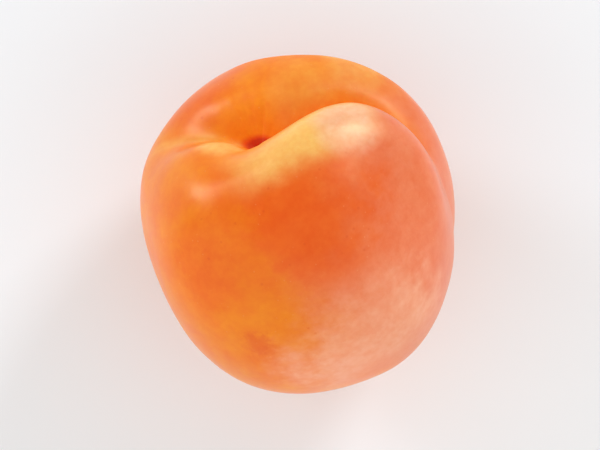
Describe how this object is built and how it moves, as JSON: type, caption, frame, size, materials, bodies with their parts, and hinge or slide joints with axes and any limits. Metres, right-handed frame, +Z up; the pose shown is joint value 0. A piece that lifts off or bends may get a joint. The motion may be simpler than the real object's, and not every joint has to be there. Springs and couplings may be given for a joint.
{
  "type": "apricot",
  "caption": "Whole ripe apricot with a stem cavity and a suture crease between two cheeks, lying on its cheek on a small flat spot.",
  "frame": {"origin": "middle of the small flat spot that the fruit rests on", "axes": "+Z up, out of the surface it lies on; +Y along the fruit's longest extent as it lies; +X to the right of it, the side that the suture runs down; the stem cavity faces up and towards -X +Y"},
  "size_m": [0.0454, 0.0489, 0.0473],
  "materials": {
    "apricot_skin": "satin, finely downy skin, orange with a red-orange blush"
  },
  "bodies": {
    "root": {"apricot_fruit": "apricot_skin"}
  },
  "joints": []
}
